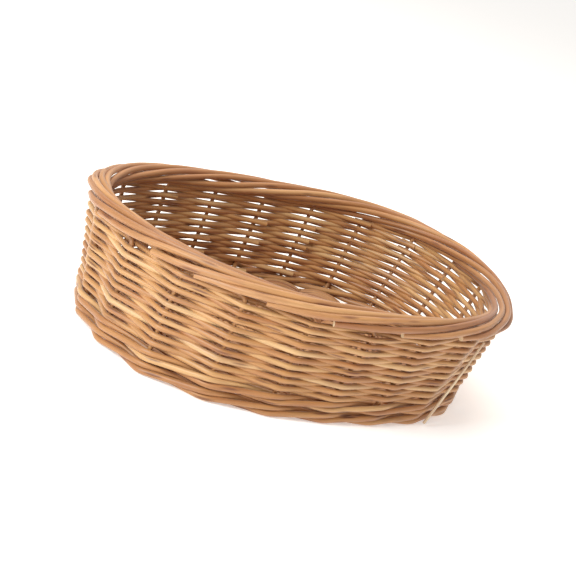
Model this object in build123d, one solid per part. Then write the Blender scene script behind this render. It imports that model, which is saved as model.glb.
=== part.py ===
from build123d import *
import math
import os

# A woven willow basket with an open top: an oval base of crossed sticks, twenty stakes that turn up
# from it, a three-rod wale at the foot, rows of plain side weave, and a rolled border that the tops
# of the stakes are laid down into. +Z is up and the basket stands on z = 0, under the wale.
# All sizes are in millimetres.

# ---- driving dimensions -------------------------------------------------------------------------
STAKES = 20                      # uprights, and ends of base sticks
STAKE_D = 4.4                    # one rod: tail in the base, upright and border
STAKE_PHASE = 0.64               # where the first stake stands, in stake spacings from +X

BASE_SEMI = (163.5, 125.5)       # oval of the stakes at the height of the base sticks
RIM_SEMI = (177.5, 137.0)        # oval of the stakes at the height of the border
OVAL_POWER = 2.38                # 2 is an ellipse, more is squarer
RIM_LOBE = (-0.009, 0.054)       # cos and sin of three lobes in the hand-bent rim
BASE_MIDDLE = (-8.1, 9.4)        # the rim leans a little off the middle of the base, and the
RIM_MIDDLE = (1.4, 6.9)          # middle of the whole basket's width and length is the origin

STICK_Z = 9.0                    # middle of the base sticks
BORDER_Z = 95.5                  # middle of the rolled border

SHORT_STICKS = 7
SHORT_STICK_D = 8.0
SHORT_STICK_PITCH = 13.0
LONG_STICKS = 3
LONG_STICK_D = 4.4
LONG_STICK_PITCH = 4.6
SLOT_HEIGHT = 4.7                # slit in each short stick, which the long sticks pass through
STICK_SIDE = SHORT_STICK_D / 2 + STAKE_D / 2 + 0.15   # a stake's tail lies beside its stick
STICK_INSET = 9.5                # sticks stop this far inside the stakes
TAIL_LENGTH = 36.0
TAIL_BEND = 3.9

BASE_ROD_D = 4.2
BASE_BANDS = 5
ROWS_PER_BAND = 4
BASE_FIRST_SEMI = (52.0, 19.0)
BASE_LAST_INSET = 11.3
BASE_ROD_POINTS = 24

WALE_RODS = 3
WALE_D = 4.4
WALE_ROUNDS = 2
WALE_STEP = 5.5                  # from a wale rod in front of a stake to the one above it
WALE_HUMP = 0.7                  # how much higher it is halfway to a stake that it goes behind
WALE_FLAT = 0.4                  # worn off the lowest rods, so that the basket stands flat
WALE_FIRST_Z = WALE_D / 2 - WALE_FLAT

WEAVER_D = 3.1
WEAVER_ROWS = 20
WEAVER_FIRST_Z = 22.8
WEAVER_LAST_Z = 83.7

SPLINT_D = 2.4                   # a thin straight rod tucked outside the weave, under the border
SPLINT_ANGLE = 5.15
SPLINT_ENDS = ((3.0, 10.6), (85.0, 6.9))   # height, and distance out from the middle of the wall

CLEARANCE = 0.25                 # between a woven rod and the stake that it passes
ROUNDING = 0.5                   # how far a woven rod's bend stands inside its corner

BORDER_BEND = 5.0
BORDER_TIP = 0.7                 # share of the last stake spacing before the rod is cut off
# Where a border rod lies at each stake that it passes, as (outward, up) from the border's middle.
# The rods run clockwise round the rim, seen from above.
BORDER_LAY = [
    (-5.6, -4.5), (-8.3, 0.8), (-4.9, 5.5), (1.2, 6.5), (6.6, 4.0), (8.9, -1.3), (6.2, -6.6),
]
BORDER_START = -8.25             # a stake turns into the border this far below its middle


# ---- the oval of the wall -----------------------------------------------------------------------
def signed_power(value, power):
    return math.copysign(abs(value) ** power, value)


def oval(angle, semi, centre, lobe=(0.0, 0.0)):
    """A point of a squared oval with three soft lobes."""
    scale = 1 + lobe[0] * math.cos(3 * angle) + lobe[1] * math.sin(3 * angle)
    x = centre[0] + semi[0] * scale * signed_power(math.cos(angle), 2 / OVAL_POWER)
    y = centre[1] + semi[1] * scale * signed_power(math.sin(angle), 2 / OVAL_POWER)
    return Vector(x, y, 0)


def wall(angle, z):
    """The middle of the wall: a straight line in z from the base oval to the rim oval."""
    low = oval(angle, BASE_SEMI, BASE_MIDDLE)
    high = oval(angle, RIM_SEMI, RIM_MIDDLE, RIM_LOBE)
    point = low + (high - low) * ((z - STICK_Z) / (BORDER_Z - STICK_Z))
    return Vector(point.X, point.Y, z)


def outward(angle, z):
    ahead = wall(angle + 0.01, z) - wall(angle - 0.01, z)
    return Vector(ahead.Y, -ahead.X, 0).normalized()


def wall_point(angle, z, out):
    return wall(angle, z) + outward(angle, z) * out


def equal_steps(count, phase):
    """Angles that divide the rim into equal lengths."""
    samples = 2880
    angles = [2 * math.pi * k / samples for k in range(samples + 1)]
    points = [wall(angle, BORDER_Z) for angle in angles]
    lengths = [0.0]
    for before, after in zip(points, points[1:]):
        lengths.append(lengths[-1] + (after - before).length)
    steps = []
    for k in range(count):
        target = ((k + phase) / count % 1.0) * lengths[-1]
        place = next(i for i, length in enumerate(lengths) if length >= target)
        share = (target - lengths[place - 1]) / (lengths[place] - lengths[place - 1])
        steps.append(angles[place - 1] + share * (angles[place] - angles[place - 1]))
    return steps


STAKE_ANGLES = equal_steps(STAKES, STAKE_PHASE)


# ---- rods ---------------------------------------------------------------------------------------
def straight(before, corner, after):
    """True where a rod hardly turns at a corner, so that it needs none."""
    return (corner - before).get_angle(after - corner) < 0.8


def rod(points, diameter, bend=None):
    """A round rod through points: straight runs joined by arcs.

    bend is the arc's radius at every corner. Without it each arc stands ROUNDING inside its
    corner, or less where the runs beside it are too short for that.
    """
    kept = [points[0]]
    for place in range(1, len(points) - 1):
        if not straight(kept[-1], points[place], points[place + 1]):
            kept.append(points[place])
    kept.append(points[-1])
    if len(kept) == 2:
        path = Line(kept[0], kept[1])
    else:
        radii = []
        for before, corner, after in zip(kept, kept[1:], kept[2:]):
            half_turn = math.radians((corner - before).get_angle(after - corner)) / 2
            shorter = min((corner - before).length, (after - corner).length)
            largest = 0.45 * shorter / math.tan(half_turn)
            wanted = bend if bend else ROUNDING / (1 / math.cos(half_turn) - 1)
            radii.append(min(wanted, largest))
        path = FilletPolyline(*kept, radius=radii)
    start = Plane(origin=path @ 0, z_dir=path % 0)
    return sweep(start * Circle(diameter / 2), path=path)


def middle(a, b):
    return (a + b) * 0.5


def woven_ring(diameter, corners_from, span=2):
    """A ring woven round the stakes, in lengths of span stakes that meet face to face.

    corners_from(k) gives the ring's corners from stake k to just before the next stake. Each
    length ends halfway from a stake to the corner after it, where the rod is straight.
    """
    corners = [corners_from(k) for k in range(STAKES)]
    lengths = []
    for first in range(0, STAKES, span):
        run = list(corners[first - 1])
        for k in range(first, first + span + 1):
            run += corners[k % STAKES]
        last = len(run) - len(corners[(first + span) % STAKES]) - len(corners[first + span - 1])
        start = middle(run[0], run[1])
        end = middle(run[last], run[last + 1])
        lengths.append(rod([start] + run[1:last + 1] + [end], diameter))
    return lengths


def write(node, solids):
    export_step(Compound(children=list(solids)), "parts/" + node + ".step")


# ---- base sticks --------------------------------------------------------------------------------
def base_point(x, y):
    """A point among the base sticks, from the middle of the base."""
    return Vector(BASE_MIDDLE[0] + x, BASE_MIDDLE[1] + y, STICK_Z)


def stake_foot(k):
    return wall(STAKE_ANGLES[k % STAKES], STICK_Z)


def stick_end(k, inner):
    """Where the stick beside stake k ends, and the direction inwards from there to inner."""
    angle = STAKE_ANGLES[k % STAKES]
    out = outward(angle, STICK_Z)
    beside = stake_foot(k) + Vector(-out.Y, out.X, 0) * STICK_SIDE
    inward = (inner - beside).normalized()
    return beside + inward * STICK_INSET, inward


def short_stick(place):
    """Its two ends stand beside stakes on opposite long sides. The middle is slit."""
    x = ((SHORT_STICKS - 1) / 2 - place) * SHORT_STICK_PITCH
    y = BASE_FIRST_SEMI[1]
    far, near = base_point(x, y), base_point(x, -y)
    first, second = LONG_STICKS // 2 + 1 + place, STAKES - LONG_STICKS // 2 - 1 - place
    ends = {first: stick_end(first, far), second: stick_end(second, near)}
    body = rod([ends[first][0], far, near, ends[second][0]], SHORT_STICK_D, bend=18)
    slot = Box(SHORT_STICK_D * 2, LONG_STICKS * LONG_STICK_PITCH + 0.3, SLOT_HEIGHT)
    return body - Pos(base_point(x, 0)) * slot, ends


def long_stick(place):
    """Lies in the slits, and fans out at both ends."""
    side = place - LONG_STICKS // 2
    x = BASE_FIRST_SEMI[0]
    right = base_point(x, side * LONG_STICK_PITCH)
    left = base_point(-x, side * LONG_STICK_PITCH)
    first, second = side % STAKES, STAKES // 2 - side
    ends = {first: stick_end(first, right), second: stick_end(second, left)}
    return rod([ends[first][0], right, left, ends[second][0]], LONG_STICK_D, bend=18), ends


# ---- base weave ---------------------------------------------------------------------------------
def base_rod(share, above):
    """One oval rod of the base weave, over the sticks or under them."""
    lift = (SHORT_STICK_D + BASE_ROD_D) / 2 + 0.1
    last = [semi - BASE_LAST_INSET for semi in BASE_SEMI]
    semi = [a + (b - a) * share for a, b in zip(BASE_FIRST_SEMI, last)]
    z = STICK_Z + (lift if above else -lift)
    turns = [2 * math.pi * (k + 0.5) / BASE_ROD_POINTS for k in range(BASE_ROD_POINTS)]
    corners = [oval(turn, semi, BASE_MIDDLE) + Vector(0, 0, z) for turn in turns]
    halves = []
    for first in (0, BASE_ROD_POINTS // 2):
        some = corners[first:first + BASE_ROD_POINTS // 2]
        begin = middle(corners[first - 1], some[0])
        end = middle(some[-1], corners[(first + BASE_ROD_POINTS // 2) % BASE_ROD_POINTS])
        halves.append(rod([begin] + some + [end], BASE_ROD_D, bend=1000))
    return halves


def base_band(band):
    rows = BASE_BANDS * ROWS_PER_BAND
    solids = []
    for row in range(band * ROWS_PER_BAND, (band + 1) * ROWS_PER_BAND):
        for above in (False, True):
            solids += base_rod(row / (rows - 1), above)
    return solids


# ---- stakes and border --------------------------------------------------------------------------
def border_point(k, lay):
    out, up = lay
    return wall_point(STAKE_ANGLES[k % STAKES], BORDER_Z, out) + Vector(0, 0, up)


def stake(k, inward):
    """Tail, upright and border of one rod, in lengths that meet face to face."""
    angle = STAKE_ANGLES[k]
    foot = stake_foot(k)
    knee = wall(angle, STICK_Z + 8)
    turn = wall(angle, BORDER_Z + BORDER_START)
    lay = [border_point(k - 1 - step, place) for step, place in enumerate(BORDER_LAY)]
    solids = [rod([foot + inward * TAIL_LENGTH, foot, knee], STAKE_D, bend=TAIL_BEND)]
    solids.append(rod([knee, turn, middle(turn, lay[0])], STAKE_D, bend=BORDER_BEND))
    places = [turn] + lay
    for before, corner, after in zip(places, places[1:], places[2:]):
        if after is places[-1]:
            end = corner + (after - corner) * BORDER_TIP
        else:
            end = middle(corner, after)
        solids.append(rod([middle(before, corner), corner, end], STAKE_D, bend=60))
    return solids


# ---- wale and side weave ------------------------------------------------------------------------
def passing_distance(diameter):
    """How far from the middle of the wall a woven rod's corner stands at a stake."""
    return (STAKE_D + diameter) / 2 + CLEARANCE + ROUNDING


def wale_ring(strand, turn):
    """In front of two stakes and behind one.

    A rod comes out above the other two, drops below the next one at its second stake, and goes
    in under them. The first time round, it passes behind a stake under the stake's tail.
    """
    out = passing_distance(WALE_D)
    low = WALE_FIRST_Z + 2 * turn * WALE_STEP
    high = low + WALE_STEP

    def behind(k):
        return (strand - k % STAKES - turn * STAKES) % 3 == 0

    def front_z(k):
        return high if (strand - k % STAKES - turn * STAKES) % 3 == 1 else low

    def corners_from(k):
        if not behind(k):
            corners = [wall_point(STAKE_ANGLES[k], front_z(k), out)]
        else:
            corners = [wall_point(STAKE_ANGLES[k], middle(low, high) if turn else low, -out)]
        if behind(k) != behind(k + 1):
            z = front_z(k + 1) if behind(k) else front_z(k)
            if z == high:
                z += WALE_HUMP
            ahead = STAKE_ANGLES[(k + 1) % STAKES]
            between = middle(wall(STAKE_ANGLES[k], z), wall(ahead, z))
            corners.append(between)
        return corners

    return woven_ring(WALE_D, corners_from)


def wale_rod(strand):
    """One of the three rods, twice round the foot."""
    lengths = []
    for turn in range(WALE_ROUNDS):
        lengths += wale_ring(strand, turn)
    below = Pos(0, 0, -WALE_D) * Box(1000, 1000, WALE_D * 2)
    return [length - below for length in lengths]


def weaver_row(row):
    """Plain weave: in front of one stake and behind the next, the other way in the next row."""
    out = passing_distance(WEAVER_D)
    z = WEAVER_FIRST_Z + (WEAVER_LAST_Z - WEAVER_FIRST_Z) * row / (WEAVER_ROWS - 1)

    def corners_from(k):
        side = 1 if (k + row) % 2 == 0 else -1
        return [wall_point(STAKE_ANGLES[k], z, side * out)]

    return woven_ring(WEAVER_D, corners_from)


# ---- every piece --------------------------------------------------------------------------------
os.makedirs("parts", exist_ok=True)

tail_directions = {}
for number in range(SHORT_STICKS):
    solid, ends = short_stick(number)
    write("base_short_stick_%d" % (number + 1), [solid])
    tail_directions.update({k: inward for k, (_, inward) in ends.items()})
for number in range(LONG_STICKS):
    solid, ends = long_stick(number)
    write("base_long_stick_%d" % (number + 1), [solid])
    tail_directions.update({k: inward for k, (_, inward) in ends.items()})

for band in range(BASE_BANDS):
    write("base_weave_band_%d" % (band + 1), base_band(band))

for k in range(STAKES):
    write("stake_%02d" % (k + 1), stake(k, tail_directions[k]))

for strand in range(WALE_RODS):
    write("wale_rod_%d" % (strand + 1), wale_rod(strand))

for row in range(WEAVER_ROWS):
    write("weaver_row_%02d" % (row + 1), weaver_row(row))

splint_ends = [wall_point(SPLINT_ANGLE, z, out) for z, out in SPLINT_ENDS]
write("outer_splint", [rod(splint_ends, SPLINT_D)])

# The first wale rod is in front of stake 2 at its lowest, and goes in under stake 1.
lowest = wall_point(STAKE_ANGLES[1], WALE_FIRST_Z, passing_distance(WALE_D))
rest = middle(lowest, middle(wall(STAKE_ANGLES[0], WALE_FIRST_Z), wall(STAKE_ANGLES[1], WALE_FIRST_Z)))
print("the underside is flat near x %.1f y %.1f" % (rest.X, rest.Y))
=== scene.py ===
# %% [markdown]
# # A woven willow basket
#
# The basket is made of nothing but willow rods: sticks that cross in the base, twenty stakes that
# turn up from it, thin weavers in front of one stake and behind the next, three thicker rods at the
# foot, and a border that the tops of the stakes are laid down into. The measured frame comes first,
# and every rod that is made here follows it.

# %% The measured frame
import math

import bpy
import numpy as np
from mathutils import Matrix, Vector


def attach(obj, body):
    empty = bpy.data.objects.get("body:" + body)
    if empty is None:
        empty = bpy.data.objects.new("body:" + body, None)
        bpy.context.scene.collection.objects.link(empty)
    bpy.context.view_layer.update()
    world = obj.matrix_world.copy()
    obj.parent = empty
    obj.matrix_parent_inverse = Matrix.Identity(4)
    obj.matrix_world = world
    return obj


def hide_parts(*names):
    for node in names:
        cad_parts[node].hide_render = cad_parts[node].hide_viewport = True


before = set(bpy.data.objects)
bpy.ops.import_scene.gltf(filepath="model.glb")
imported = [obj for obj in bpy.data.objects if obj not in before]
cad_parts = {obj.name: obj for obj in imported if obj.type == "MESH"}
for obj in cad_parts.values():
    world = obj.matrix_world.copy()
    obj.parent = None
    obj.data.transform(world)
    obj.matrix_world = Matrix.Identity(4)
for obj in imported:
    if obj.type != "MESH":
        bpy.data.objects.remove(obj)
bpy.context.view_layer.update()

MM = 0.001

# %% [markdown]
# ## One helper for every node
#
# Materials and Geometry Nodes trees are both built by adding a node, setting its options, and giving
# each input a value or a link. One function does that, so that a tree reads from top to bottom.

# %% Adding a node
def add(tree, kind, inputs=None, **settings):
    """A new node. An input's value is either a number or the socket that feeds it."""
    node = tree.nodes.new(kind)
    for key, value in settings.items():
        setattr(node, key, value)
    for name, value in (inputs or {}).items():
        if isinstance(value, bpy.types.NodeSocket):
            tree.links.new(value, node.inputs[name])
        else:
            node.inputs[name].default_value = value
    return node


def colour(hex_code):
    """A hex sRGB colour as the linear colour that shaders use."""
    channels = [int(hex_code[k:k + 2], 16) / 255 for k in (1, 3, 5)]
    linear = [c / 12.92 if c <= 0.04045 else ((c + 0.055) / 1.055) ** 2.4 for c in channels]
    return (*linear, 1.0)


print("mid willow tan in linear light", [round(c, 3) for c in colour("#C18B52")])

# %% [markdown]
# ## The shape of the wall
#
# A willow basket of this kind is woven by eye. Its base is a squared oval, and its rim is a larger
# one that leans a little and bulges in three soft lobes. The stakes are straight lines from one to
# the other, at equal steps round the rim. Every rod in the wall is placed from this one formula:
# an angle round the oval, a height, and a distance out from the middle of the wall.

# %% The two ovals
STAKES = 20
STAKE_PHASE = 0.64
BASE_SEMI, BASE_MIDDLE = np.array([163.5, 125.5]) * MM, np.array([-8.1, 9.4]) * MM
RIM_SEMI, RIM_MIDDLE = np.array([177.5, 137.0]) * MM, np.array([1.4, 6.9]) * MM
OVAL_POWER = 2.38
RIM_LOBE = (-0.009, 0.054)
STICK_Z = 9.0 * MM
BORDER_Z = 95.5 * MM


def oval(angle, semi, middle, lobe=(0.0, 0.0)):
    """Points of a squared oval. lobe holds the cosine and sine shares of its three lobes."""
    scale = 1 + lobe[0] * np.cos(3 * angle) + lobe[1] * np.sin(3 * angle)
    direction = np.stack([np.cos(angle), np.sin(angle)], axis=-1)
    squared = np.sign(direction) * np.abs(direction) ** (2 / OVAL_POWER)
    return middle + semi * squared * np.asarray(scale)[..., None]


def wall(angle, z, out=0.0):
    """A point of the wall, out metres outside its middle."""
    share = (z - STICK_Z) / (BORDER_Z - STICK_Z)

    def flat(turn):
        low = oval(turn, BASE_SEMI, BASE_MIDDLE)
        return low + (oval(turn, RIM_SEMI, RIM_MIDDLE, RIM_LOBE) - low) * share

    ahead = flat(angle + 0.01) - flat(angle - 0.01)
    outward = np.array([ahead[1], -ahead[0]]) / np.hypot(*ahead)
    return np.array([*(flat(angle) + outward * out), z])


print("base and rim ovals in mm", 2 * BASE_SEMI / MM, 2 * RIM_SEMI / MM)

# %% Equal steps round the rim
turns = np.linspace(0, 2 * math.pi, 2881)
rim = oval(turns, RIM_SEMI, RIM_MIDDLE, RIM_LOBE)
walked = np.concatenate([[0], np.cumsum(np.hypot(*np.diff(rim, axis=0).T))])
stake_steps = (np.arange(STAKES) + STAKE_PHASE) / STAKES * walked[-1]
stake_angle = np.interp(stake_steps, walked, turns)
print("rim is", round(walked[-1] / MM), "mm round, a stake every", round(walked[-1] / STAKES / MM, 1))

# %% [markdown]
# ## Camera, floor and light
#
# The basket is to look tilted, but it stands flat on its foot, so the camera is rolled instead. It
# stands a little over a metre away, above the rim, at one corner of the oval. A white sheet for a
# floor and a nearly white world give the bright even light of a product shot. A cool lamp on the
# left makes the left flank pale. A larger, warmer one overhead lights the border and the far inside.

# %% Camera
def turned(first, second, degrees):
    """Two axes turned together, first towards second."""
    c, s = math.cos(math.radians(degrees)), math.sin(math.radians(degrees))
    return first * c + second * s, second * c - first * s


CAMERA_AZIMUTH, CAMERA_ELEVATION, CAMERA_ROLL = -35.69, 21.03, 19.78
CAMERA_PAN, CAMERA_TILT = -0.82, -2.32
CAMERA_DISTANCE = 1.196
CAMERA_LENS, CAMERA_SENSOR = 89.1, 36.0
azimuth, elevation = math.radians(CAMERA_AZIMUTH), math.radians(CAMERA_ELEVATION)
back = Vector((math.sin(azimuth) * math.cos(elevation),
               -math.cos(azimuth) * math.cos(elevation), math.sin(elevation)))
right = Vector((math.cos(azimuth), math.sin(azimuth), 0))
up = back.cross(right)
camera_place = Vector((*BASE_MIDDLE, 0)) + back * CAMERA_DISTANCE
right, up = turned(right, up, CAMERA_ROLL)
right, back = turned(right, back, -CAMERA_PAN)
up, back = turned(up, back, -CAMERA_TILT)

camera = bpy.data.objects.new("camera", bpy.data.cameras.new("camera"))
camera.data.lens = CAMERA_LENS
camera.data.sensor_width = CAMERA_SENSOR
axes = Matrix((right, up, back)).transposed().to_4x4()
camera.matrix_world = Matrix.Translation(camera_place) @ axes
bpy.context.collection.objects.link(camera)
bpy.context.scene.camera = camera
bpy.context.scene.view_settings.view_transform = "Standard"
print("camera stands at", [round(v, 3) for v in camera_place])

# %% Floor
FLOOR_REACH = 12.0
FLOOR_GLOW = 0.35      # keeps the paper white under the basket's own soft shadow
floor_mesh = bpy.data.meshes.new("floor")
floor_corners = [(x * FLOOR_REACH, y * FLOOR_REACH, 0) for x, y in ((-1, -1), (1, -1), (1, 1), (-1, 1))]
floor_mesh.from_pydata(floor_corners, [], [(0, 1, 2, 3)])
floor = bpy.data.objects.new("floor", floor_mesh)
bpy.context.collection.objects.link(floor)
paper = bpy.data.materials.new("white_paper_sweep")
paper.use_nodes = True
sheet = paper.node_tree.nodes["Principled BSDF"]
sheet.inputs["Base Color"].default_value = colour("#FBFBFA")
sheet.inputs["Roughness"].default_value = 0.9
sheet.inputs["Emission Color"].default_value = (1.0, 1.0, 1.0, 1.0)
sheet.inputs["Emission Strength"].default_value = FLOOR_GLOW
floor_mesh.materials.append(paper)
print("floor is", 2 * FLOOR_REACH, "m across")

# %% Light
WORLD_TINT, WORLD_STRENGTH = (1.0, 0.96, 0.92, 1.0), 0.6
COOL, WARM = (0.88, 0.97, 1.0), (1.0, 0.82, 0.68)
world = bpy.data.worlds.new("white_studio")
bpy.context.scene.world = world
world.use_nodes = True
world.node_tree.nodes["Background"].inputs["Color"].default_value = WORLD_TINT
world.node_tree.nodes["Background"].inputs["Strength"].default_value = WORLD_STRENGTH


def lamp(name, place, size, watts, tint):
    """A square lamp that faces the basket."""
    data = bpy.data.lights.new(name, "AREA")
    data.size = size
    data.energy = watts
    data.color = tint
    body = bpy.data.objects.new(name, data)
    body.location = place
    body.rotation_euler = (Vector((0, 0, 0.05)) - Vector(place)).to_track_quat("-Z", "Y").to_euler()
    bpy.context.collection.objects.link(body)


lamp("key_lamp_left", (-1.6, -0.40, 1.15), 0.8, 30, COOL)
lamp("soft_top_lamp", (0.1, 0.7, 1.8), 1.6, 22, WARM)
print("lamps", [data.name for data in bpy.data.lights])

# %% [markdown]
# ## What a willow rod looks like
#
# Buff willow is boiled in its bark and then peeled, which stains it a warm tan. Each rod has its own
# tone, from straw to reddish brown. Fine streaks run along it, and small dark scars show where
# buds sat. The peeled skin is smooth, so it has a satin gloss, and its fine fibres give a pale haze
# where light grazes it. The pattern has to follow each rod round every bend, so the rods carry
# their own coordinates: how far along, and where round.

# %% Willow
REDDISH, SCAR = "#9A5A32", "#6E3A1C"
STREAK_DARKEST, STREAK_PALEST = 0.78, 1.121


def willow(name, tones):
    """Peeled willow. tones are hex colours from the darkest rod to the palest."""
    material = bpy.data.materials.new(name)
    material.use_nodes = True
    tree = material.node_tree
    shader = tree.nodes["Principled BSDF"]
    along = add(tree, "ShaderNodeAttribute", attribute_name="along").outputs["Fac"]
    around = add(tree, "ShaderNodeAttribute", attribute_name="round").outputs["Vector"]
    tone = add(tree, "ShaderNodeAttribute", attribute_name="tone").outputs["Fac"]

    # Each rod gets its own stretch of the pattern, a hundred metres from the next one's.
    apart = add(tree, "ShaderNodeMath", {0: tone, 1: 100.0, 2: along},
                operation="MULTIPLY_ADD").outputs[0]
    split = add(tree, "ShaderNodeSeparateXYZ", {0: around})

    def skin(across, per_metre):
        """A place on the rod's skin, stretched so that a pattern is long and thin."""
        stretched = {}
        for axis, value, scale in (("Z", apart, per_metre), ("X", split.outputs["X"], across),
                                   ("Y", split.outputs["Y"], across)):
            scaled = add(tree, "ShaderNodeMath", {0: value, 1: scale}, operation="MULTIPLY")
            stretched[axis] = scaled.outputs[0]
        return add(tree, "ShaderNodeCombineXYZ", stretched).outputs[0]

    # Rod by rod colour.
    rod_ramp = add(tree, "ShaderNodeValToRGB", {"Fac": tone})
    ramp = rod_ramp.color_ramp
    while len(ramp.elements) < len(tones):
        ramp.elements.new(0.5)
    for place, (element, tone_hex) in enumerate(zip(ramp.elements, tones)):
        element.position = place / (len(tones) - 1)
        element.color = colour(tone_hex)

    # Reddish patches a few centimetres long, then streaks about 0.4 mm wide.
    patch = add(tree, "ShaderNodeTexNoise", {"Vector": skin(0.35, 22.0), "Scale": 1.0, "Detail": 3.0})
    patch_share = add(tree, "ShaderNodeMapRange", {"Value": patch.outputs["Fac"], "From Min": 0.46,
                                                   "From Max": 0.75, "To Min": 0.0, "To Max": 0.65})
    patched = add(tree, "ShaderNodeMix", {"Factor": patch_share.outputs[0],
                                          6: rod_ramp.outputs["Color"], 7: colour(REDDISH)},
                  data_type="RGBA")
    streak = add(tree, "ShaderNodeTexNoise", {"Vector": skin(3.2, 30.0), "Scale": 1.0, "Detail": 4.0,
                                              "Roughness": 0.65})
    fine = add(tree, "ShaderNodeMapRange", {"Value": streak.outputs["Fac"], "From Min": 0.3,
                                            "From Max": 0.7, "To Min": STREAK_DARKEST,
                                            "To Max": STREAK_PALEST})
    streaked = add(tree, "ShaderNodeMix", {"Factor": 1.0, 6: patched.outputs[2], 7: fine.outputs[0]},
                   data_type="RGBA", blend_type="MULTIPLY")

    # Bud scars: a dark dot in about one cell of the rod in three.
    cell = add(tree, "ShaderNodeTexVoronoi", {"Vector": skin(0.5, 26.0), "Scale": 1.0})
    near = add(tree, "ShaderNodeMapRange", {"Value": cell.outputs["Distance"], "From Min": 0.12,
                                            "From Max": 0.25, "To Min": 0.8, "To Max": 0.0})
    scarred = add(tree, "ShaderNodeMix", {"Factor": near.outputs[0], 6: streaked.outputs[2],
                                          7: colour(SCAR)}, data_type="RGBA")
    tree.links.new(scarred.outputs[2], shader.inputs["Base Color"])

    bump = add(tree, "ShaderNodeBump", {"Height": streak.outputs["Fac"], "Strength": 0.35,
                                        "Distance": 0.0004})
    tree.links.new(bump.outputs[0], shader.inputs["Normal"])
    shader.inputs["Roughness"].default_value = 0.48
    shader.inputs["Specular IOR Level"].default_value = 0.75
    shader.inputs["Sheen Weight"].default_value = 0.35
    shader.inputs["Sheen Roughness"].default_value = 0.4
    return material


# Weavers are thin young rods and pale, stakes are thicker and browner. The rods of the base are
# the darkest, partly their own darker tone and partly painted shade that dims the lamp-lit floor
# inside the basket. The splint was peeled without boiling, so it is white willow.
WEAVER_TONES = ["#A66C3B", "#B67D46", "#C18B52", "#CC9B62", "#DCB480"]
STAKE_TONES = ["#995F33", "#AE7642", "#BF8952", "#D0A06C"]
# Darker base tones: partly real willow tone, partly painted shade for the basket's inside floor.
BASE_TONES_WITH_PAINTED_SHADE = ["#8C5529", "#A36A38", "#B27B46", "#BE8A54"]
weaver_willow = willow("buff_willow_weavers", WEAVER_TONES)
stake_willow = willow("buff_willow_stakes", STAKE_TONES)
wale_willow = willow("buff_willow_wale", WEAVER_TONES)
base_willow = willow("buff_willow_base_weave", BASE_TONES_WITH_PAINTED_SHADE)
splint_willow = willow("white_willow_splint", ["#E0C6A0", "#EBD8B8"])

# Where a rod is cut off, its pale dry wood shows, without the gloss of the skin.
cut_willow = bpy.data.materials.new("cut_willow_end")
cut_willow.use_nodes = True
cut_shader = cut_willow.node_tree.nodes["Principled BSDF"]
cut_shader.inputs["Base Color"].default_value = colour("#E6CCA6")
cut_shader.inputs["Roughness"].default_value = 0.8
print("willow materials", len(bpy.data.materials))

# %% [markdown]
# ## One tree that turns lines into rods
#
# Every rod is a line with a thickness at each point. A Geometry Nodes tree gives the lines their
# round skin: a circle is swept along each one and scaled by the thickness, and a slow noise makes
# the surface as uneven as real willow. The tree also stores how far along and where round each
# point of the skin is, which is what the material reads.

# %% The rod tree
tree = bpy.data.node_groups.new("willow_rods", "GeometryNodeTree")
for name, kind, default in (("Sides", "NodeSocketInt", 10),
                            ("Unevenness", "NodeSocketFloat", 0.00015),
                            ("Lumps per Metre", "NodeSocketFloat", 70.0),
                            ("Seed", "NodeSocketFloat", 3.0),
                            ("Material", "NodeSocketMaterial", None)):
    socket = tree.interface.new_socket(name, in_out="INPUT", socket_type=kind)
    if default is not None:
        socket.default_value = default
tree.interface.new_socket("Geometry", in_out="OUTPUT", socket_type="NodeSocketGeometry")
lines_in = tree.interface.new_socket("Lines", in_out="INPUT", socket_type="NodeSocketGeometry")
tree.interface.move(lines_in, 0)

inputs = add(tree, "NodeGroupInput").outputs
lines = add(tree, "GeometryNodeMeshToCurve", {"Mesh": inputs["Lines"]}).outputs[0]
length = add(tree, "GeometryNodeSplineParameter").outputs["Length"]
measured = add(tree, "GeometryNodeStoreNamedAttribute",
               {"Geometry": lines, "Name": "along", "Value": length},
               data_type="FLOAT", domain="POINT").outputs[0]
circle = add(tree, "GeometryNodeCurvePrimitiveCircle",
             {"Resolution": inputs["Sides"], "Radius": 1.0}).outputs[0]
place = add(tree, "GeometryNodeInputPosition").outputs[0]
marked = add(tree, "GeometryNodeStoreNamedAttribute",
             {"Geometry": circle, "Name": "round", "Value": place},
             data_type="FLOAT_VECTOR", domain="POINT").outputs[0]
thickness = add(tree, "GeometryNodeInputNamedAttribute", {"Name": "thickness"},
                data_type="FLOAT").outputs[0]
skinned = add(tree, "GeometryNodeCurveToMesh", {"Curve": measured, "Profile Curve": marked,
                                                "Scale": thickness, "Fill Caps": True}).outputs[0]
lump = add(tree, "ShaderNodeTexNoise",
           {"Vector": place, "W": inputs["Seed"], "Scale": inputs["Lumps per Metre"], "Detail": 1.0},
           noise_dimensions="4D").outputs[0]
centred = add(tree, "ShaderNodeMath", {0: lump, 1: 0.5}, operation="SUBTRACT").outputs[0]
height = add(tree, "ShaderNodeMath", {0: centred, 1: inputs["Unevenness"]},
             operation="MULTIPLY").outputs[0]
normal = add(tree, "GeometryNodeInputNormal").outputs[0]
offset = add(tree, "ShaderNodeVectorMath", {0: normal, "Scale": height}, operation="SCALE").outputs[0]
uneven = add(tree, "GeometryNodeSetPosition", {"Geometry": skinned, "Offset": offset}).outputs[0]
smooth = add(tree, "GeometryNodeSetShadeSmooth", {"Geometry": uneven}).outputs[0]
whole = add(tree, "GeometryNodeRealizeInstances", {"Geometry": smooth}).outputs[0]
finished = add(tree, "GeometryNodeSetMaterial",
               {"Geometry": whole, "Material": inputs["Material"]}).outputs[0]
add(tree, "NodeGroupOutput", {"Geometry": finished})
socket_id = {item.name: item.identifier
             for item in tree.interface.items_tree if item.in_out == "INPUT"}
print("rod tree inputs", list(socket_id))

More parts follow.
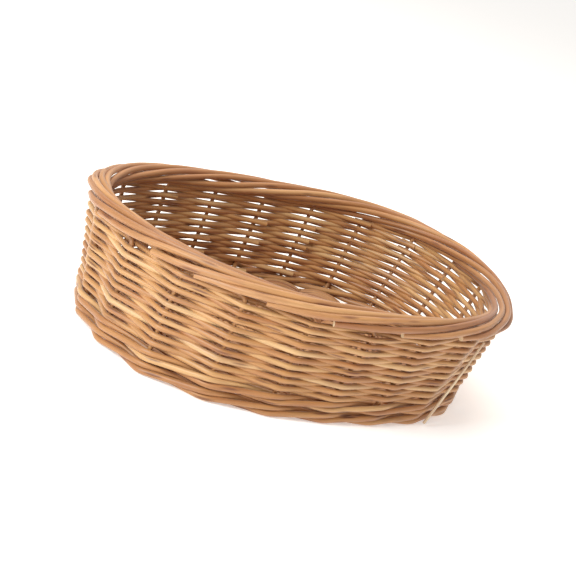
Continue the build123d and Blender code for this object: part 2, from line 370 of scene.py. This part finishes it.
# %% [markdown]
# ## From corners to a finished piece
#
# A rod in a basket runs straight between the places where something bends it. So each rod is given
# by its corners. They are rounded over a short reach, and the line is cut into even steps. Then the
# lines become a mesh of edges, the tree runs once, and its result is kept as a plain mesh.

# %% Corners to lines, lines to a piece
STEP = 3.2 * MM


def bent(corners, reach):
    """A line through corners, each rounded over its reach on both sides."""
    corners = np.asarray(corners, float)
    reach = np.broadcast_to(reach, len(corners))
    points = [corners[0]]
    for k in range(1, len(corners) - 1):
        sides = []
        for other in (corners[k - 1], corners[k + 1]):
            run = other - corners[k]
            sides.append(corners[k] + run * min(0.48, reach[k] / np.linalg.norm(run)))
        for t in np.linspace(0, 1, 7):
            points.append(sides[0] * (1 - t) ** 2 + corners[k] * 2 * t * (1 - t) + sides[1] * t ** 2)
    points.append(corners[-1])
    points = np.array(points)
    walked = np.concatenate([[0], np.cumsum(np.linalg.norm(np.diff(points, axis=0), axis=1))])
    even = np.linspace(0, walked[-1], max(4, round(walked[-1] / STEP)))
    return np.stack([np.interp(even, walked, points[:, axis]) for axis in range(3)], axis=1)


def rod(line, radii, tone):
    """A line with a radius that runs from the first of radii to the last."""
    share = np.linspace(0, 1, len(line))
    return line, np.interp(share, np.linspace(0, 1, len(radii)), radii), tone


def piece(name, rods, material, node, sides=10, uneven=0.25 * MM, seed=1.0):
    """Runs the rod tree on these rods and keeps the result as a plain mesh, in place of a CAD node."""
    points, edges, thick, tones = [], [], [], []
    for line, radii, tone in rods:
        first = len(points)
        points.extend(line.tolist())
        edges.extend((k, k + 1) for k in range(first, len(points) - 1))
        thick.extend(radii)
        tones.extend([tone] * len(line))
    wire = bpy.data.meshes.new(name + "_lines")
    wire.from_pydata(points, edges, [])
    for key, values in (("thickness", thick), ("tone", tones)):
        attribute = wire.attributes.new(key, "FLOAT", "POINT")
        attribute.data.foreach_set("value", np.array(values, np.float32))
    maker = bpy.data.objects.new(name + "_maker", wire)
    bpy.context.collection.objects.link(maker)
    modifier = maker.modifiers.new("willow_rods", "NODES")
    modifier.node_group = tree
    for key, value in (("Sides", sides), ("Unevenness", uneven), ("Seed", seed),
                       ("Material", material)):
        modifier[socket_id[key]] = value
    graph = bpy.context.evaluated_depsgraph_get()
    mesh = bpy.data.meshes.new_from_object(maker.evaluated_get(graph),
                                           preserve_all_data_layers=True, depsgraph=graph)
    bpy.data.objects.remove(maker)
    mesh.name = name
    mesh.materials.append(cut_willow)      # for the caps, the only faces with over four corners
    for face in mesh.polygons:
        if face.loop_total > 4:
            face.material_index = len(mesh.materials) - 1
            face.use_smooth = False
    made = bpy.data.objects.new(name, mesh)
    bpy.context.collection.objects.link(made)
    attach(made, "root")
    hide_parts(node)
    return made


chance = np.random.default_rng(11)
print("rods are drawn in steps of", STEP / MM, "mm")

# %% [markdown]
# ## The side weave
#
# This is plain randing: one rod to a row, in front of one stake and behind the next, and the other
# way in the row above. Willow is too stiff to curve between two stakes, so each stroke is nearly
# straight and the bend is at the stake. A row takes two rods. Each one starts behind a stake,
# beside the end of the other, and rods taper from butt to tip. Most are laid in butt first.

# %% Weavers
WEAVER_ROWS = 20
WEAVER_FIRST_Z, WEAVER_LAST_Z = 22.9 * MM, 84.8 * MM
WEAVER_R = 2.15 * MM
STAKE_R = 1.75 * MM
WEAVER_TOUCH = STAKE_R + WEAVER_R      # from the middle of a stake to the middle of a weaver
WEAVER_BEND = 3.4 * MM
PAST_STAKE = 0.15                      # how far a rod's ends run past their stakes, in strokes
BUTT_TUCK, END_TUCK, TIP_TUCK = 2.6, 3.4, -0.5


def weaver_row(row):
    """The two rods of one row."""
    z = WEAVER_FIRST_Z + (WEAVER_LAST_Z - WEAVER_FIRST_Z) * row / (WEAVER_ROWS - 1)
    first = int(chance.integers(0, STAKES // 2)) * 2 + (1 - row % 2)
    share = int(chance.integers(3, 8)) * 2
    lift = chance.normal(0, 0.25, STAKES) * MM
    press = chance.normal(0, 0.25, STAKES) * MM
    rods = []
    for start, strokes in ((first, share), (first + share, STAKES - share)):
        corners = []
        for k in range(start, start + strokes + 1):
            stake = k % STAKES
            side = 1 if (k + row) % 2 == 0 else -1
            out = side * (WEAVER_TOUCH + press[stake])
            corners.append(wall(stake_angle[stake], z + lift[stake], out))
        before = corners[0] - (corners[1] - corners[0]) * PAST_STAKE
        after = corners[-1] + (corners[-1] - corners[-2]) * PAST_STAKE
        angle = stake_angle[start % STAKES]
        inward = (wall(angle, z, -1.0) - wall(angle, z)) * MM
        corners[0] = corners[0] + inward * BUTT_TUCK
        line = bent([before + inward * END_TUCK, *corners, after + inward * TIP_TUCK], WEAVER_BEND)
        butt = WEAVER_R * chance.uniform(1.0, 1.12)
        tip = WEAVER_R * chance.uniform(0.82, 0.95)
        radii = [butt, WEAVER_R, tip] if chance.random() < 0.7 else [tip, WEAVER_R, butt]
        rods.append(rod(line, radii, float(chance.beta(2.2, 1.8))))
    return rods


for row in range(WEAVER_ROWS):
    node = "weaver_row_%02d" % (row + 1)
    made = piece("willow_" + node, weaver_row(row), weaver_willow, node,
                 seed=float(row))
print("a weaver row has", len(made.data.polygons), "faces")

# %% [markdown]
# ## The foot wale
#
# Three thicker rods are worked together, twice round the foot. Each goes in front of two stakes and
# behind the next one. It comes out above the other two, drops below the next rod at its second
# stake, and goes in under them. So two rods always show, one above the other, in long slanting
# strokes. They push the stakes upright and give the basket the edge that it stands on.

# %% Wale
WALE_R = 2.5 * MM
WALE_FIRST_Z = WALE_R
WALE_STEP = 5.3 * MM
WALE_ROUNDS = 2
WALE_TOUCH = STAKE_R + WALE_R + 0.9 * MM
WALE_BEND = 6.0 * MM
WALE_PAST_STAKE = 0.35


def wale_corners(strand, turn, k):
    """The corners of one strand from stake k to just before the next stake."""
    low = WALE_FIRST_Z + 2 * turn * WALE_STEP
    order = [(strand - stake % STAKES - turn * STAKES) % 3 for stake in (k, k + 1)]
    front_z = [low + WALE_STEP if place == 1 else low for place in order]
    here, ahead = stake_angle[k % STAKES], stake_angle[(k + 1) % STAKES]
    lift = abs(chance.normal(0, 0.2)) * MM
    if order[0] == 0:
        corners = [wall(here, low + (WALE_STEP / 2 if turn else 0) + lift, -WALE_TOUCH)]
    else:
        corners = [wall(here, front_z[0] + lift, WALE_TOUCH)]
    if (order[0] == 0) != (order[1] == 0):
        z = front_z[1] if order[0] == 0 else front_z[0]
        corners.append((wall(here, z) + wall(ahead, z)) / 2)
    return corners


def wale_rods(strand):
    """One strand twice round, in rods that start and end behind a stake."""
    rods = []
    for turn in range(WALE_ROUNDS):
        behind = [k for k in range(STAKES) if (strand - k - turn * STAKES) % 3 == 0]
        joint = int(chance.integers(0, len(behind)))
        starts = [behind[joint], behind[joint - len(behind) // 2]]
        for begin, end in zip(starts, starts[1:] + starts[:1]):
            strokes = (end - begin) % STAKES
            corners = [c for k in range(begin, begin + strokes) for c in wale_corners(strand, turn, k)]
            corners.append(wale_corners(strand, turn, end)[0])
            before = corners[0] + (corners[0] - corners[1]) * WALE_PAST_STAKE
            after = corners[-1] + (corners[-1] - corners[-2]) * WALE_PAST_STAKE
            before[2], after[2] = corners[0][2], corners[-1][2]
            line = bent([before, *corners, after], WALE_BEND)
            thick = WALE_R * chance.uniform(0.94, 1.0)
            rods.append(rod(line, [thick, thick, thick * 0.88], float(chance.beta(2, 2))))
    return rods


for strand in range(3):
    node = "wale_rod_%d" % (strand + 1)
    made = piece("willow_" + node, wale_rods(strand), wale_willow, node,
                 sides=12, seed=40.0 + strand)
print("a wale strand has", len(made.data.polygons), "faces")

# %% [markdown]
# ## Stakes and border
#
# A stake and its part of the border are one rod. Its butt lies in the base beside a stick. It turns
# up sharply, runs straight up the wall, and is then bent down to go behind the next stakes. From
# there it climbs over the top of the border and comes down on its outside, seven stakes from its
# own, where it is cut off. Twenty of these, each a stake behind the next, make the rolled border.

# %% Where the base sticks point
SHORT_STICKS = 7
SHORT_PITCH, LONG_PITCH = 13.0 * MM, 4.6 * MM
LADDER = np.array([52.0, 19.0]) * MM
inner_end = {}
for number in range(SHORT_STICKS):
    x = ((SHORT_STICKS - 1) / 2 - number) * SHORT_PITCH
    inner_end[2 + number] = np.array([x, LADDER[1]])
    inner_end[18 - number] = np.array([x, -LADDER[1]])
for side in (-1, 0, 1):      # the three long sticks
    inner_end[side % STAKES] = np.array([LADDER[0], side * LONG_PITCH])
    inner_end[STAKES // 2 - side] = np.array([-LADDER[0], side * LONG_PITCH])
print("stakes with a stick", len(inner_end))

# %% Stakes
TAIL = 36.0 * MM
# How far out from the wall and how high each rod lies at the next seven stakes, in millimetres.
BORDER_LAY = ((-5.5, -4.5), (-7.8, 0.7), (-4.3, 5.4), (1.1, 6.2), (6.2, 3.9), (8.7, -1.2),
              (6.0, -6.5))
BORDER_START = -8.25 * MM
BORDER_WANDER = 0.6
BEND_REACH = np.array([1, 4, 5, 16, 20, 22, 22, 22, 20, 1]) * MM
STAKE_RADII = np.array([1.9, 1.8, 2.55, 2.55, 2.3]) * MM


def stake_rod(k):
    """One stake from its butt in the base to its cut end in the border."""
    angle = stake_angle[k]
    foot = wall(angle, STICK_Z)
    inwards = np.array([*(BASE_MIDDLE + inner_end[k]), STICK_Z]) - foot
    tail = foot + inwards / np.linalg.norm(inwards) * TAIL
    corners = [tail, foot, wall(angle, BORDER_Z + BORDER_START)]
    for step, (out, rise) in enumerate(BORDER_LAY):
        ahead = stake_angle[(k - 1 - step) % STAKES]
        wander = chance.normal(0, BORDER_WANDER, 2)
        point = wall(ahead, BORDER_Z, (out + wander[0]) * MM)
        point[2] += (rise + wander[1]) * MM
        corners.append(point)
    corners[-1] = corners[-2] + (corners[-1] - corners[-2]) * chance.uniform(0.5, 0.9)
    line = bent(corners, BEND_REACH)
    walked = np.concatenate([[0], np.cumsum(np.linalg.norm(np.diff(line, axis=0), axis=1))])
    up_to = (TAIL + (BORDER_Z - STICK_Z)) * 0.95
    radius = np.interp(walked, [0, up_to, up_to + 25 * MM, walked[-1] - 40 * MM, walked[-1]],
                       STAKE_RADII) * chance.uniform(0.9, 1.08)
    return line, radius, float(chance.beta(2.2, 2.0))


for k in range(STAKES):
    node = "stake_%02d" % (k + 1)
    made = piece("willow_" + node, [stake_rod(k)], stake_willow, node,
                 sides=12, seed=60.0 + k)
print("a stake with its border end has", len(made.data.polygons), "faces")

# %% [markdown]
# ## The base
#
# Seven short sticks are slit in the middle and three long ones are pushed through the slits. They
# fan out like spokes, one to each stake. The measured sticks have the right shape already and only
# need their finish. Two thin rods at a time are twisted round every stick, one over and one under,
# changing places between sticks, from the middle out to the foot.

# %% Base sticks
GRAIN_ACROSS, GRAIN_ALONG = 900.0, 25.0      # per metre: streaks about 1 mm wide and 40 mm long


def stick_willow(name, grain_axis):
    """Willow for a straight stick: the streaks follow one axis of the object."""
    material = bpy.data.materials.new(name)
    material.use_nodes = True
    tree = material.node_tree
    shader = tree.nodes["Principled BSDF"]
    place = add(tree, "ShaderNodeTexCoord").outputs["Object"]
    stretch = [GRAIN_ACROSS] * 3
    stretch[grain_axis] = GRAIN_ALONG
    grain = add(tree, "ShaderNodeMapping", {"Vector": place, "Scale": stretch}).outputs[0]
    streak = add(tree, "ShaderNodeTexNoise", {"Vector": grain, "Scale": 1.0, "Detail": 4.0})
    ramp = add(tree, "ShaderNodeValToRGB", {"Fac": streak.outputs["Fac"]})
    ramp.color_ramp.elements[0].position, ramp.color_ramp.elements[1].position = 0.3, 0.72
    ramp.color_ramp.elements[0].color = colour("#A86C3C")
    ramp.color_ramp.elements[1].color = colour("#DDB07A")
    tree.links.new(ramp.outputs["Color"], shader.inputs["Base Color"])
    bump = add(tree, "ShaderNodeBump", {"Height": streak.outputs["Fac"], "Strength": 0.4,
                                        "Distance": 0.0004})
    tree.links.new(bump.outputs[0], shader.inputs["Normal"])
    shader.inputs["Roughness"].default_value = 0.5
    return material


short_willow = stick_willow("buff_willow_short_sticks", 1)
long_willow = stick_willow("buff_willow_long_sticks", 0)
stick_nodes = {name: node for name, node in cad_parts.items() if "_stick_" in name}
for name, node in stick_nodes.items():
    node.data.materials.clear()
    node.data.materials.append(short_willow if "short" in name else long_willow)
print("sticks finished", len(stick_nodes))

# %% Base weave
BASE_ROWS, BANDS = 20, 5
BASE_R = 2.0 * MM
SHORT_STICK_R = 4.0 * MM
OUTER = BASE_SEMI - 11.3 * MM
FLATNESS = 0.6            # under 1, a rod stays longer on top of a stick before it dives
SIDESTEP = 0.85 * BASE_R  # how far the two rods of a pair move apart where they pass each other


def crossing(k, semi):
    """The angle at which stick k crosses the oval of one row."""
    outer = wall(stake_angle[k], STICK_Z)[:2] - BASE_MIDDLE
    spoke = inner_end[k] + (outer - inner_end[k]) * np.linspace(-0.6, 1.0, 400)[:, None]
    inside = (np.abs(spoke / semi) ** OVAL_POWER).sum(axis=1)
    place = np.interp(1.0, inside[150:], np.arange(150, 400))
    x, y = (np.interp(place, np.arange(400), spoke[:, axis]) / semi[axis] for axis in (0, 1))
    power = OVAL_POWER / 2
    return math.atan2(np.sign(y) * abs(y) ** power, np.sign(x) * abs(x) ** power)


def base_pair(row):
    """Two rods twisted round the sticks on one oval."""
    semi = LADDER + (OUTER - LADDER) * row / (BASE_ROWS - 1)
    sticks = np.sort(np.unwrap([crossing(k, semi) for k in range(STAKES)]) % (2 * math.pi))
    sticks = np.append(sticks, sticks[0] + 2 * math.pi)
    around = 2 * math.pi * semi.mean()
    steps = np.linspace(0, STAKES, max(120, int(around / (3.0 * MM))))
    angle = np.interp(steps, np.arange(STAKES + 1), sticks)
    rods = []
    for sign in (1, -1):
        over = sign * np.cos(math.pi * (steps + row))
        beside = sign * np.sin(math.pi * (steps + row))
        level = np.sign(over) * np.abs(over) ** FLATNESS
        flat = oval(angle, semi + BASE_R * 0.2, BASE_MIDDLE)
        outward = flat - BASE_MIDDLE
        outward /= np.linalg.norm(outward, axis=1)[:, None]
        flat = flat + outward * (beside * SIDESTEP)[:, None]
        z = STICK_Z + level * (SHORT_STICK_R + BASE_R)
        line = np.concatenate([flat, z[:, None]], axis=1)
        rods.append(rod(line, [BASE_R, BASE_R * 0.92, BASE_R], float(chance.beta(2, 2))))
    return rods


for band in range(BANDS):
    rods = []
    for row in range(band * BASE_ROWS // BANDS, (band + 1) * BASE_ROWS // BANDS):
        rods += base_pair(row)
    node = "base_weave_band_%d" % (band + 1)
    made = piece("willow_" + node, rods, base_willow, node,
                 sides=8, seed=90.0 + band)
print("the outer base band has", len(made.data.polygons), "faces")

# %% [markdown]
# ## The loose splint
#
# One thin pale rod stands outside the weave. Its top is tucked under the border and it runs down
# over the foot. It is whiter than the rest because it was peeled without boiling.

# %% Splint
SPLINT_ANGLE = 5.15
SPLINT_PLACES = ((3.4, 10.5), (44.0, 9.2), (84.6, 6.9))      # height and distance out, in mm
corners = [wall(SPLINT_ANGLE, z * MM, out * MM) for z, out in SPLINT_PLACES]
splint = rod(bent(corners, 30 * MM), [1.25 * MM, 1.1 * MM, 0.95 * MM], 0.6)
made = piece("willow_outer_splint", [splint], splint_willow, "outer_splint",
             seed=99.0)
print("the splint has", len(made.data.polygons), "faces")
